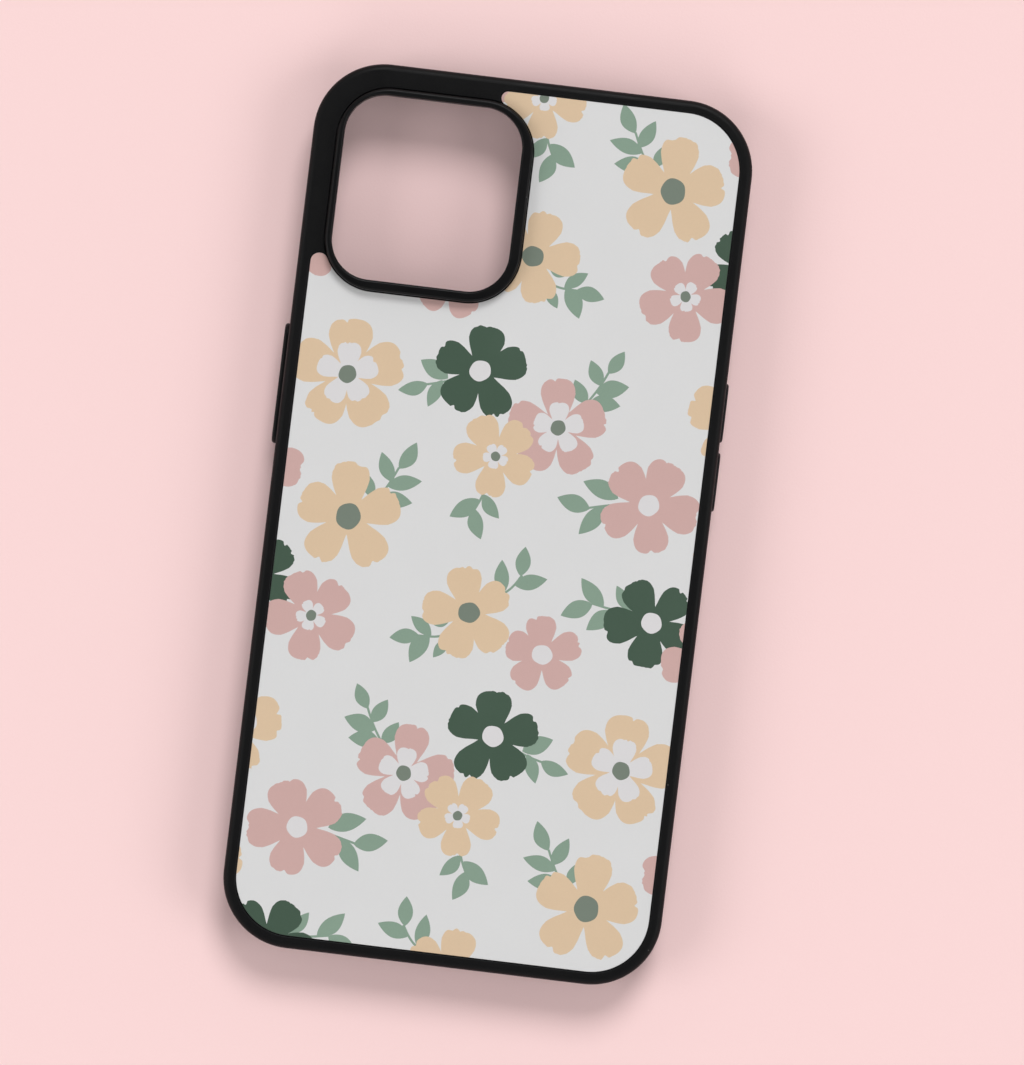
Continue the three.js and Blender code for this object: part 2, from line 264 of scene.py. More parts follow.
class Shell:
    """One closed piece, gathered in millimetres as rows of points, bands between them and fills."""

    def __init__(self):
        self.points = []
        self.faces = []
        self.finishes = []

    def row(self, points):
        start = len(self.points)
        self.points += [Vector(p) for p in points]
        return list(range(start, len(self.points)))

    def face(self, corners, finish=0):
        self.faces.append(corners)
        self.finishes.append(finish)

    def band(self, first, second, finish=0):
        count = len(first)
        for k in range(count):
            after = (k + 1) % count
            self.face([first[k], first[after], second[after], second[k]], finish)

    def skin(self, rows, closed=False):
        made = [self.row(points) for points in rows]
        for first, second in zip(made, made[1:] + made[:1] if closed else made[1:]):
            self.band(first, second)
        return made

    def block(self, rows):
        """A skin over the rows, with a flat face at each end."""
        made = self.skin(rows)
        self.fill([made[0]])
        self.fill([made[-1]])

    def fill(self, loops, finish=0):
        """A flat face inside the first loop and outside the others."""
        order = [corner for loop in loops for corner in loop]
        flat = [[self.points[corner] for corner in loop] for loop in loops]
        for triangle in tessellate_polygon(flat):
            self.face([order[k] for k in triangle], finish)

    def piece(self, name, finishes):
        mesh = bpy.data.meshes.new(name)
        mesh.from_pydata([p * MM for p in self.points], [], self.faces)
        for material in finishes:
            mesh.materials.append(material)
        mesh.polygons.foreach_set("material_index", self.finishes)
        return finished(mesh, name)


def finished(mesh, name):
    """Welds a mesh, turns its faces outward, shades it by angle and puts it in the scene."""
    work = bmesh.new()
    work.from_mesh(mesh)
    bmesh.ops.remove_doubles(work, verts=work.verts, dist=WELD_METRES)
    bmesh.ops.dissolve_degenerate(work, dist=WELD_METRES, edges=work.edges)
    bmesh.ops.recalc_face_normals(work, faces=work.faces)
    work.to_mesh(mesh)
    work.free()
    mesh.polygons.foreach_set("use_smooth", [True] * len(mesh.polygons))
    mesh.set_sharp_from_angle(angle=math.radians(SHARP_DEGREES))
    piece = bpy.data.objects.new(name, mesh)
    bpy.context.scene.collection.objects.link(piece)
    even = piece.modifiers.new("even_normals", "WEIGHTED_NORMAL")
    even.keep_sharp = True
    even.weight = 100
    return piece


def flat_row(points, z):
    return [(x, y, z) for x, y in points]


def quarter(radius, start, end):
    """Offsets round a small edge: across and up from the centre of its arc."""
    return arc((0, 0), radius, start, end, FILLET_STEPS)


def edge_rows(outline, grow, z, radius, start, end):
    """Rows round a rounded edge of an outline, with the arc's centre at that growth and height.

    A negative radius starts at the far side of the arc, for the edge of an opening."""
    return [flat_row(outline(grow + across), z + up) for across, up in quarter(radius, start, end)]


def side_row(rect, grow, x):
    """A rounded rectangle that stands in a long wall."""
    return [(x, y, z) for y, z in ring(rect, grow, SLOT_STEPS)]


def end_row(rect, grow, y):
    """A rounded rectangle that stands in an end wall."""
    return [(x, y, z) for x, z in ring(rect, grow, SLOT_STEPS)]


def flared_cutter(row, rect, inside, face):
    """A block through a wall that widens at the outer face, so that the cut has a rounded edge."""
    out = 1 if face > inside else -1
    rows = [row(rect, 0, inside)]
    for across, up in quarter(CUT_EDGE_RADIUS, 180, 90):
        rows.append(row(rect, CUT_EDGE_RADIUS + across, face + out * (up - CUT_EDGE_RADIUS)))
    rows.append(row(rect, CUT_EDGE_RADIUS, face + out * CUT_MARGIN))
    return rows


def cutter(rows):
    """A closed block through the rows, to be cut out of a piece."""
    shell = Shell()
    shell.block(rows)
    return shell.piece("cutter", [])


def carve(piece, cutters):
    """Cuts the blocks out of a piece, one after the other, and removes them."""
    name = piece.name
    for block in cutters:
        cut = piece.modifiers.new("cut", "BOOLEAN")
        cut.object = block
        cut.operation = "DIFFERENCE"
        cut.solver = "EXACT"
        piece.modifiers.move(len(piece.modifiers) - 1, 0)
        bpy.context.view_layer.update()
        view = bpy.context.evaluated_depsgraph_get()
        carved = bpy.data.meshes.new_from_object(piece.evaluated_get(view))
        piece.modifiers.remove(cut)
        old, piece.data = piece.data, carved
        bpy.data.meshes.remove(old)
        carved.name = name
        bpy.data.objects.remove(block)
    mesh = piece.data
    bpy.data.objects.remove(piece)
    return finished(mesh, name)


# --- Shader helpers --------------------------------------------------------

def srgb(*parts):
    """Linear colour of an 0 to 255 display colour."""
    linear = []
    for part in parts:
        share = part / 255
        linear.append(share / 12.92 if share <= 0.04045 else ((share + 0.055) / 1.055) ** 2.4)
    return (*linear, 1.0)


def add(tree, kind, settings=None, **values):
    """A new node with its settings, and values or links for its inputs by name."""
    node = tree.nodes.new(kind)
    for name, value in (settings or {}).items():
        setattr(node, name, value)
    for name, value in values.items():
        connect(tree, node.inputs[name.replace("_", " ")], value)
    return node


def connect(tree, socket, value):
    """Links another node's socket to this one, or sets this one to a plain value."""
    if isinstance(value, bpy.types.NodeSocket):
        tree.links.new(value, socket)
    else:
        socket.default_value = value


def math_node(tree, operation, *values):
    node = tree.nodes.new("ShaderNodeMath")
    node.operation = operation
    for socket, value in zip(node.inputs, values):
        connect(tree, socket, value)
    return node.outputs[0]


def stretch(tree, value, low, high, to_low=0.0, to_high=1.0, smooth=False):
    """A value's range turned into another one, and held inside it."""
    node = add(tree, "ShaderNodeMapRange", {"clamp": True})
    if smooth:
        node.interpolation_type = "SMOOTHSTEP"
    for name, given in (("Value", value), ("From Min", low), ("From Max", high),
                        ("To Min", to_low), ("To Max", to_high)):
        connect(tree, node.inputs[name], given)
    return node.outputs["Result"]


def own_space(tree):
    """Places on the piece itself, in metres."""
    return add(tree, "ShaderNodeTexCoord").outputs["Object"]


def noise(tree, scale, detail, **values):
    """Cloudy noise fixed to the piece, with so many clouds to the metre."""
    cloudy = add(tree, "ShaderNodeTexNoise", Vector=own_space(tree), Scale=scale, Detail=detail, **values)
    return cloudy.outputs["Fac"]


def mixed(tree, share, first, second):
    """The first colour turned into the second by a share of 0 to 1."""
    node = add(tree, "ShaderNodeMix", {"data_type": "RGBA"})
    connect(tree, node.inputs["Factor"], share)
    colours = [socket for socket in node.inputs if socket.type == "RGBA"]
    connect(tree, colours[0], first)
    connect(tree, colours[1], second)
    return [socket for socket in node.outputs if socket.type == "RGBA"][0]


FLOAT = "NodeSocketFloat"
COLOUR = "NodeSocketColor"


def new_group(name, inputs, outputs):
    """A shader node group with named sockets: the group, what it is given and what it puts out."""
    group = bpy.data.node_groups.new(name, "ShaderNodeTree")
    for label, kind, value in inputs:
        socket = group.interface.new_socket(label, in_out="INPUT", socket_type=kind)
        socket.default_value = value
    for label, kind in outputs:
        group.interface.new_socket(label, in_out="OUTPUT", socket_type=kind)
    source = group.nodes.new("NodeGroupInput")
    result = group.nodes.new("NodeGroupOutput")
    return group, source.outputs, result.inputs


def place(tree, group, **values):
    """A node group placed in a material, with its own values."""
    node = tree.nodes.new("ShaderNodeGroup")
    node.node_tree = group
    for name, value in values.items():
        connect(tree, node.inputs[name.replace("_", " ")], value)
    return node.outputs


# --- Effects shared by the materials ---------------------------------------

def moulded_grain():
    """The spark-eroded texture of a mould: round pits of one size, with a broad unevenness."""
    group, given, out = new_group(
        "moulded_grain",
        [("Grain Size", FLOAT, 0.0001), ("Pit Share", FLOAT, 0.5)],
        [("Height", FLOAT), ("Unevenness", FLOAT)],
    )
    scale = math_node(group, "DIVIDE", 1.0, given["Grain Size"])
    pits = add(group, "ShaderNodeTexVoronoi", {"feature": "SMOOTH_F1"},
               Vector=own_space(group), Scale=scale, Smoothness=0.6).outputs["Distance"]
    fine = noise(group, scale, 1.0, Roughness=0.4)
    broad = noise(group, 140.0, 4.0, Roughness=0.6)
    rest = math_node(group, "SUBTRACT", 1.0, given["Pit Share"])
    between = math_node(group, "MULTIPLY", fine, rest)
    connect(group, out["Height"], math_node(group, "MULTIPLY_ADD", pits, given["Pit Share"], between))
    connect(group, out["Unevenness"], stretch(group, broad, 0.3, 0.7))
    return group


def rubbed_edges():
    """Where an edge is worn: the surface beside a tight corner, broken up along it."""
    group, given, out = new_group(
        "rubbed_edges",
        [("Width", FLOAT, 0.0004), ("Breakup", FLOAT, 0.5)],
        [("Mask", FLOAT)],
    )
    rounded = add(group, "ShaderNodeBevel", {"samples": 4}, Radius=given["Width"]).outputs[0]
    straight = add(group, "ShaderNodeNewGeometry").outputs["Normal"]
    same = add(group, "ShaderNodeVectorMath", {"operation": "DOT_PRODUCT"})
    connect(group, same.inputs[0], rounded)
    connect(group, same.inputs[1], straight)
    untouched, worn = 0.995, 0.93
    turned = stretch(group, same.outputs["Value"], untouched, worn)
    broken = stretch(group, noise(group, 320.0, 5.0, Roughness=0.65), 0.35, 0.65)
    kept = math_node(group, "SUBTRACT", 1.0, given["Breakup"])
    share = math_node(group, "MULTIPLY_ADD", broken, given["Breakup"], kept)
    connect(group, out["Mask"], math_node(group, "MULTIPLY", turned, share))
    return group


def handling_marks():
    """Faint smears left by fingers, as patches with soft ridges drawn through them."""
    group, given, out = new_group(
        "handling_marks",
        [("Patch Size", FLOAT, 0.018)],
        [("Smear", FLOAT)],
    )
    scale = math_node(group, "DIVIDE", 1.0, given["Patch Size"])
    patch = stretch(group, noise(group, scale, 2.0, Distortion=0.6), 0.5, 0.72, smooth=True)
    streak = stretch(group, noise(group, 900.0, 2.0, Distortion=1.2), 0.35, 0.65, 0.4, 1.0)
    connect(group, out["Smear"], math_node(group, "MULTIPLY", patch, streak))
    return group


def settled_dust():
    """Sparse specks on the faces that look up."""
    group, given, out = new_group(
        "settled_dust",
        [("Spacing", FLOAT, 0.004), ("Speck Size", FLOAT, 0.00012)],
        [("Mask", FLOAT)],
    )
    scale = math_node(group, "DIVIDE", 1.0, given["Spacing"])
    cells = add(group, "ShaderNodeTexVoronoi", Vector=own_space(group), Scale=scale)
    reach = math_node(group, "DIVIDE", given["Speck Size"], given["Spacing"])
    speck = math_node(group, "LESS_THAN", cells.outputs["Distance"], reach)
    chance = add(group, "ShaderNodeSeparateColor", Color=cells.outputs["Color"]).outputs[0]
    empty_cells = 0.45
    chosen = math_node(group, "GREATER_THAN", chance, empty_cells)
    normal = add(group, "ShaderNodeNewGeometry").outputs["Normal"]
    upward = add(group, "ShaderNodeSeparateXYZ", Vector=normal).outputs["Z"]
    lying = stretch(group, upward, 0.5, 0.9)
    mask = math_node(group, "MULTIPLY", speck, chosen)
    connect(group, out["Mask"], math_node(group, "MULTIPLY", mask, lying))
    return group


def ink_mottle():
    """The slight unevenness of a dye print: fine specks from the paper and broad clouds."""
    group, given, out = new_group(
        "ink_mottle",
        [("Ink", COLOUR, (0.5, 0.5, 0.5, 1.0)), ("Amount", FLOAT, 0.04)],
        [("Colour", COLOUR)],
    )
    specks = math_node(group, "SUBTRACT", noise(group, 3200.0, 2.0), 0.5)
    clouds = math_node(group, "SUBTRACT", noise(group, 110.0, 3.0, Roughness=0.6), 0.5)
    both = math_node(group, "ADD", specks, clouds)
    value = math_node(group, "MULTIPLY_ADD", both, given["Amount"], 1.0)
    toned = add(group, "ShaderNodeHueSaturation", Value=value)
    connect(group, toned.inputs["Color"], given["Ink"])
    connect(group, out["Colour"], toned.outputs["Color"])
    return group


def orange_peel():
    """The gentle ripple of a clear coating that was sprayed and baked."""
    group, given, out = new_group(
        "orange_peel",
        [("Ripple Size", FLOAT, 0.0014)],
        [("Height", FLOAT)],
    )
    scale = math_node(group, "DIVIDE", 1.0, given["Ripple Size"])
    connect(group, out["Height"], noise(group, scale, 2.0))
    return group


GRAIN = moulded_grain()
EDGES = rubbed_edges()
MARKS = handling_marks()
DUST = settled_dust()
MOTTLE = ink_mottle()
PEEL = orange_peel()


# --- Materials -------------------------------------------------------------

def new_material(name, **sockets):
    """A material with a Principled shader, its tree and the shader's inputs."""
    material = bpy.data.materials.new(name)
    material.use_nodes = True
    tree = material.node_tree
    tree.nodes.clear()
    shader = tree.nodes.new("ShaderNodeBsdfPrincipled")
    output = tree.nodes.new("ShaderNodeOutputMaterial")
    tree.links.new(shader.outputs["BSDF"], output.inputs["Surface"])
    for label, value in sockets.items():
        shader.inputs[label.replace("_", " ")].default_value = value
    return material, tree, shader.inputs


def surface(tree, shader, colour, roughness, height, depth):
    """Gives a shader its colour and roughness, and a relief of that depth in metres."""
    relief = add(tree, "ShaderNodeBump", Height=height, Distance=depth, Strength=1.0)
    connect(tree, shader["Base Color"], colour)
    connect(tree, shader["Roughness"], roughness)
    connect(tree, shader["Normal"], relief.outputs["Normal"])


WORN_BLACK = srgb(30, 30, 32)
DUST_GREY = srgb(150, 146, 142)


def moulded(name, colour, roughness, grain_size, grain_depth, specular, rub_width):
    """A dark moulded plastic or rubber: grain, duller and shinier patches, rubbed edges and dust."""
    material, tree, shader = new_material(name, Specular_IOR_Level=specular)
    grain = place(tree, GRAIN, Grain_Size=grain_size, Pit_Share=0.7)
    rubbed = place(tree, EDGES, Width=rub_width, Breakup=0.55)["Mask"]
    smear = place(tree, MARKS, Patch_Size=0.016)["Smear"]
    dust = place(tree, DUST, Spacing=0.005, Speck_Size=0.00011)["Mask"]
    worn = mixed(tree, math_node(tree, "MULTIPLY", rubbed, 0.55), colour, WORN_BLACK)
    dusty = mixed(tree, math_node(tree, "MULTIPLY", dust, 0.35), worn, DUST_GREY)
    patchy = stretch(tree, grain["Unevenness"], 0.0, 1.0, roughness - 0.05, roughness + 0.05)
    polished = math_node(tree, "MULTIPLY_ADD", rubbed, -0.14, patchy)
    smeared = math_node(tree, "MULTIPLY_ADD", smear, -0.07, polished)
    surface(tree, shader, dusty, smeared, grain["Height"], grain_depth)
    return material


def panel_plastic():
    """The hard back panel, with rows of tiny raised dots inside that keep the phone's back off it."""
    material, tree, shader = new_material("panel_plastic", Specular_IOR_Level=0.4)
    grain = place(tree, GRAIN, Grain_Size=0.00022, Pit_Share=0.4)
    dot_pitch = 0.0009
    foot, crown = 0.3, 0.16
    scaled = add(tree, "ShaderNodeVectorMath", {"operation": "SCALE"},
                 Vector=own_space(tree), Scale=1 / dot_pitch)
    split = add(tree, "ShaderNodeSeparateXYZ", Vector=scaled.outputs["Vector"])
    waves = [math_node(tree, "PINGPONG", split.outputs[axis], 0.5) for axis in "XY"]
    offset = [math_node(tree, "POWER", math_node(tree, "SUBTRACT", 0.5, wave), 2.0) for wave in waves]
    away = math_node(tree, "SQRT", math_node(tree, "ADD", *offset))
    dots = stretch(tree, away, foot, crown, smooth=True)
    height = math_node(tree, "MULTIPLY_ADD", grain["Height"], 0.15, dots)
    black = mixed(tree, grain["Unevenness"], srgb(20, 20, 21), srgb(26, 26, 27))
    satin = stretch(tree, grain["Unevenness"], 0.0, 1.0, 0.46, 0.56)
    surface(tree, shader, black, satin, height, 0.00004)
    return material


def ink(name, colour, amount=0.05):
    """One ink of the print, under a clear coating with a slight ripple and finger smears."""
    material, tree, shader = new_material(
        name, Specular_IOR_Level=0.35, Coat_Weight=0.12, Coat_Roughness=0.2, Coat_IOR=1.45)
    smear = place(tree, MARKS, Patch_Size=0.024)["Smear"]
    ripple = place(tree, PEEL, Ripple_Size=0.0014)["Height"]
    mottled = place(tree, MOTTLE, Ink=colour, Amount=amount)["Colour"]
    surface(tree, shader, mottled, stretch(tree, smear, 0.0, 1.0, 0.36, 0.45), ripple, 0.000006)
    return material


def sheared_metal():
    """The insert's bare aluminium edge and back, with fine lines from the shear and the rollers."""
    material, tree, shader = new_material("sheared_metal", Metallic=1.0)
    drawn = add(tree, "ShaderNodeMapping", Vector=own_space(tree), Scale=(9000.0, 300.0, 9000.0))
    lines = add(tree, "ShaderNodeTexNoise",
                Vector=drawn.outputs["Vector"], Scale=1.0, Detail=3.0).outputs["Fac"]
    silver = mixed(tree, lines, srgb(176, 177, 180), srgb(205, 206, 208))
    surface(tree, shader, silver, stretch(tree, lines, 0.3, 0.7, 0.32, 0.48), lines, 0.000006)
    return material


def adhesive_film():
    """Clear double-sided film with a few trapped bubbles."""
    material, tree, shader = new_material("adhesive_film", Specular_IOR_Level=0.5)
    cells = add(tree, "ShaderNodeTexVoronoi", Vector=own_space(tree), Scale=420.0).outputs["Distance"]
    haze = noise(tree, 90.0, 3.0)
    bubble = stretch(tree, cells, 0.18, 0.1, smooth=True)
    milky = mixed(tree, haze, srgb(226, 222, 208), srgb(236, 233, 222))
    surface(tree, shader, milky, stretch(tree, bubble, 0.0, 1.0, 0.42, 0.2), bubble, 0.00002)
    return material


BUMPER_RUBBER = moulded("bumper_rubber", srgb(7, 7, 8), roughness=0.48, grain_size=0.00012,
                        grain_depth=0.00003, specular=0.15, rub_width=0.0005)
BUTTON_RUBBER = moulded("button_rubber", srgb(7, 7, 8), roughness=0.44, grain_size=0.0001,
                        grain_depth=0.000018, specular=0.17, rub_width=0.0003)
GUARD_PLASTIC = moulded("guard_plastic", srgb(6, 6, 7), roughness=0.4, grain_size=0.00009,
                        grain_depth=0.000009, specular=0.17, rub_width=0.0003)
PANEL_PLASTIC = panel_plastic()
SHEARED_METAL = sheared_metal()
ADHESIVE_FILM = adhesive_film()

# The inks' places in the insert's list of finishes, with the bare metal after them
GROUND, CREAM, PINK, SAGE, GREEN, WHITE, MOSS, METAL = range(8)
INKS = [
    ink("ink_light_grey", srgb(217, 217, 217), 0.03),
    ink("ink_cream", srgb(217, 191, 160)),
    ink("ink_pink", srgb(203, 168, 163)),
    ink("ink_sage", srgb(133, 156, 139), 0.07),
    ink("ink_dark_green", srgb(66, 87, 72), 0.09),
    ink("ink_white", srgb(217, 215, 216), 0.03),
    ink("ink_moss", srgb(117, 128, 116), 0.07),
]


# --- The print: flowers and leaf sprays on a light ground, repeating in both directions ---

REPEAT_X = 73.4
REPEAT_Y = 133.1
MIRROR_X = 0.6
MIRROR_DROP = REPEAT_Y / 2
PRINT_ORIGIN = (0.12, -0.15)
LEAF_WIDTH = 0.25
LEAF_WIDTH_RANGE = (0.82, 1.12)
LEAF_BEND_RANGE = (-0.05, 0.05)
LEAF_FULLNESS = 0.9
LEAF_STEPS = 14
STEM_WIDTH = 0.42
STEM_STEPS = 8
FIRST_SEED = 100

# A flower: petal ink, centre, reach, turn of its first petal, then the reach of the blossom inside
# it, or 0 for none, and the eye's radius and ink
Flower = namedtuple("Flower", "ink x y reach turn blossom eye eye_ink")
# A motif: its flower, the points that each stem goes through, and the x and y of each leaf's foot
# and tip
Motif = namedtuple("Motif", "flower stems leaves")

MOTIFS = [
    Motif(Flower(GREEN, 32.0, -14.3, 8.4, 118, 0, 1.9, WHITE),
          [[(29, -13.2), (24, -12.6), (20.6, -12.0)]],
          [(22.9, -12.2, 18.2, -7.6), (20.8, -12.1, 15.2, -14.9),
           (25.4, -13.2, 20.2, -17.0), (28.0, -12.6, 24.8, -8.2)]),
    Motif(Flower(PINK, -28.3, -59.4, 9.1, 112, 0, 1.95, WHITE),
          [[(-26, -59.1), (-20.4, -60.4), (-17.2, -61.2)]],
          [(-22.6, -58.8, -15.8, -56.4), (-17.6, -61.3, -11.4, -59.9),
           (-20.2, -60.4, -16.1, -66.2)]),
    Motif(Flower(CREAM, -1.6, -16.4, 8.45, 108, 0, 1.95, MOSS),
          [[(-4.2, -20.4), (-7.0, -21.5), (-10.4, -21.7)], [(1, -14.5), (5.2, -11.4), (7.3, -8.4)]],
          [(-8.0, -21.4, -12.1, -18.3), (-10.2, -21.7, -15.6, -22.7),
           (-8.4, -21.2, -11.4, -26.8), (-5.0, -21.8, -7.2, -25.4),
           (-8.0, -19.3, -4.8, -18.0), (4.2, -12.2, 3.3, -6.0),
           (7.0, -8.6, 7.3, -3.1), (6.0, -10.3, 12.0, -8.6)]),
    Motif(Flower(PINK, 12.7, -22.5, 7.2, 95, 0, 1.85, WHITE), [], []),
    Motif(Flower(GREEN, 5.5, -38.5, 8.7, 92, 0, 1.95, WHITE),
          [[(9, -40), (12, -41.3), (15.2, -42.2)]],
          [(11.2, -40.6, 16.6, -37.8), (12.2, -41.0, 14.3, -46.2),
           (14.8, -42.0, 20.1, -43.8)]),
    Motif(Flower(CREAM, 29.7, -42.0, 10.4, 85, 5.7, 1.65, MOSS), [], []),
    Motif(Flower(PINK, -10.0, -47.2, 9.1, 85, 4.75, 1.4, MOSS),
          [[(-13.4, -44), (-16.4, -39.4), (-18.3, -35.4)]],
          [(-14.7, -42.2, -12.0, -38.0), (-15.0, -42.1, -20.9, -41.9),
           (-16.2, -40.0, -22.1, -38.2), (-17.1, -38.6, -14.5, -34.1),
           (-18.0, -36.2, -20.5, -31.8)]),
    Motif(Flower(CREAM, 0.8, -53.8, 7.85, 60, 2.4, 0.88, MOSS),
          [[(1.6, -59), (2.6, -62), (3.6, -64.2)]],
          [(2.2, -61.0, -1.2, -65.1), (2.9, -62.0, 7.9, -65.8),
           (3.6, -63.8, 1.7, -69.3)]),
    Motif(Flower(CREAM, 26.4, -68.0, 9.6, 88, 0, 2.35, MOSS),
          [[(23.4, -65.4), (20.4, -62.4), (18.2, -58.0)]],
          [(18.2, -58.2, 15.5, -53.0), (19.0, -60.8, 21.7, -55.5),
           (20.0, -61.6, 13.7, -60.0), (21.4, -64.5, 15.0, -64.2),
           (22.6, -64.0, 23.6, -60.0)]),
    Motif(Flower(PINK, -30.4, -20.4, 8.4, 118, 2.8, 0.98, MOSS), [], []),
]

# A petal's side, as how far along it and half of its width there, in shares of the flower's reach
PETAL_SIDE = [(0.0, 0.13), (0.2, 0.195), (0.36, 0.255), (0.52, 0.325)]
PETAL_SHOULDER = 0.67
PETAL_WIDTH = 0.37
PETAL_BLUNTNESS = 2.8
PETAL_SPREAD = 72
PETAL_SWAY = (-4, 4)
PETAL_STEPS = 3
TIP_STEPS = 30
LENGTH_RANGE = (0.95, 1.06)
WIDTH_RANGE = (0.92, 1.09)
NOTCH_PLACES = (-50, 50)
NOTCH_DEPTHS = (0.03, 0.075)
NOTCH_SPREADS = (5, 10)
CRINKLE_PLACES = (-45, 45)
CRINKLE_DEPTHS = (0, 0.022)
CRINKLE_SPREAD = 40
HEART = 0.3
HEART_STEPS = 20
EYE_WOBBLE_RANGE = (0.02, 0.05)
EYE_RIPPLE = 0.02
EYE_STEPS = 40


def smooth_through(points, steps):
    """A smooth line through the points, with that many pieces between each two."""
    drawn = []
    for k in range(len(points) - 1):
        before = Vector(points[max(k - 1, 0)])
        start, end = Vector(points[k]), Vector(points[k + 1])
        after = Vector(points[min(k + 2, len(points) - 1)])
        for step in range(steps):
            t = step / steps
            drawn.append(
                start
                + (end - before) * 0.5 * t
                + (before - start * 2.5 + end * 2 - after * 0.5) * t ** 2
                + (start * 1.5 - end * 1.5 + after * 0.5 - before * 0.5) * t ** 3
            )
    drawn.append(Vector(points[-1]))
    return drawn


def petal(reach, draw):
    """A broad petal along +X from the flower's middle, its blunt end notched and a little crinkled."""
    long, wide = draw.uniform(*LENGTH_RANGE), draw.uniform(*WIDTH_RANGE)
    notches = [
        (draw.uniform(*NOTCH_PLACES), draw.uniform(*NOTCH_DEPTHS), draw.uniform(*NOTCH_SPREADS))
        for _ in range(draw.choice([1, 1, 2]))
    ]
    crinkled = draw.uniform(*CRINKLE_PLACES)
    sides = [(along * long, across * wide) for along, across in PETAL_SIDE]
    points = [(along, -across) for along, across in sides]
    for k in range(TIP_STEPS + 1):
        degrees = 180 * k / TIP_STEPS - 90
        ahead, aside = math.cos(math.radians(degrees)), math.sin(math.radians(degrees))
        end, edge = (1 - PETAL_SHOULDER) * long, PETAL_WIDTH * wide
        swell = (ahead / end) ** PETAL_BLUNTNESS + abs(aside / edge) ** PETAL_BLUNTNESS
        radius = swell ** (-1 / PETAL_BLUNTNESS)
        for at, depth, spread in notches:
            radius -= depth * math.exp(-((degrees - at) / spread) ** 2)
        radius -= draw.uniform(*CRINKLE_DEPTHS) * math.exp(-((degrees - crinkled) / CRINKLE_SPREAD) ** 2)
        points.append((PETAL_SHOULDER * long + radius * ahead, radius * aside))
    points += reversed(sides)
    return [p * reach for p in smooth_through(points, PETAL_STEPS)]


def round_eye(radius, draw):
    """A hand-drawn dot: nearly round, with a slow wobble."""
    phase, wobble = draw.uniform(0, 6), draw.uniform(*EYE_WOBBLE_RANGE)
    points = []
    for k in range(EYE_STEPS):
        a = k / EYE_STEPS * math.tau
        r = radius * (1 + wobble * math.sin(2 * a + phase) + EYE_RIPPLE * math.sin(5 * a + phase))
        points.append(Vector((r * math.cos(a), r * math.sin(a))))
    return points


def leaf_shape(leaf, draw):
    """An almond with a sharp tip and one side fuller than the other."""
    base, tip = Vector(leaf[:2]), Vector(leaf[2:])
    along = tip - base
    across = Vector((-along.y, along.x))
    wide = [LEAF_WIDTH * draw.uniform(*LEAF_WIDTH_RANGE) for _ in range(2)]
    bend = draw.uniform(*LEAF_BEND_RANGE)
    sides = [[], []]
    for k in range(LEAF_STEPS + 1):
        t = k / LEAF_STEPS
        spine = base + along * t + across * bend * math.sin(math.pi * t)
        swell = math.sin(math.pi * t ** LEAF_FULLNESS) ** LEAF_FULLNESS
        for side, sign in ((0, -1), (1, 1)):
            sides[side].append(spine + across * sign * wide[side] * swell)
    return sides[0] + sides[1][::-1][1:-1]


def stem_shape(points):
    """A thin strip along a curved line."""
    line = smooth_through(points, STEM_STEPS)
    sides = [[], []]
    for k, point in enumerate(line):
        ahead = (line[min(k + 1, len(line) - 1)] - line[max(k - 1, 0)]).normalized()
        across = Vector((-ahead.y, ahead.x)) * STEM_WIDTH / 2
        sides[0].append(point - across)
        sides[1].append(point + across)
    return sides[0] + sides[1][::-1]


def turned(points, degrees, centre):
    """Points turned about the origin and moved to a centre."""
    spin = Matrix.Rotation(math.radians(degrees), 2)
    return [spin @ p + Vector(centre) for p in points]


def five_petals(ink_number, flower, reach, draw):
    """A flower's petals, and a round heart that joins them."""
    shapes = []
    for k in range(5):
        angle = flower.turn + PETAL_SPREAD * k + draw.uniform(*PETAL_SWAY)
        shapes.append((ink_number, turned(petal(reach, draw), angle, (flower.x, flower.y))))
    heart = [Vector((HEART * reach * math.cos(a), HEART * reach * math.sin(a)))
             for a in (k / HEART_STEPS * math.tau for k in range(HEART_STEPS))]
    shapes.append((ink_number, turned(heart, 0, (flower.x, flower.y))))
    return shapes


def motif_shapes(motif, number):
    """The shapes of one motif in the order they are printed, as ink and outline."""
    draw = random.Random(FIRST_SEED + number)
    shapes = [(SAGE, stem_shape(points)) for points in motif.stems]
    shapes += [(SAGE, leaf_shape(leaf, draw)) for leaf in motif.leaves]
    flower = motif.flower
    shapes += five_petals(flower.ink, flower, flower.reach, draw)
    if flower.blossom:
        shapes += five_petals(WHITE, flower, flower.blossom, draw)
    eye = turned(round_eye(flower.eye, draw), 0, (flower.x, flower.y))
    shapes.append((flower.eye_ink, eye))
    return shapes


def repeats(shapes):
    """A motif's copies: moved by the repeat, and mirrored halfway down it."""
    mirrored = [
        (number, [Vector((MIRROR_X - p.x, p.y - MIRROR_DROP)) for p in points][::-1])
        for number, points in shapes
    ]
    for base in (shapes, mirrored):
        for across in (-1, 0, 1):
            for up in (-1, 0, 1, 2):
                shift = Vector(PRINT_ORIGIN) + Vector((across * REPEAT_X, up * REPEAT_Y))
                yield [(number, [p + shift for p in points]) for number, points in base]


def meets(points, box):
    """Whether an outline's own box meets another box, seen from above."""
    xs, ys = [p.x for p in points], [p.y for p in points]
    meets_x = max(xs) > box.low.x and min(xs) < box.high.x
    meets_y = max(ys) > box.low.y and min(ys) < box.high.y
    return meets_x and meets_y


def printed_shapes():
    """Every shape of the print that meets the insert, in printing order."""
    return [
        (ink_number, points)
        for number, motif in enumerate(MOTIFS)
        for copy in repeats(motif_shapes(motif, number))
        for ink_number, points in copy
        if meets(points, INSERT)
    ]


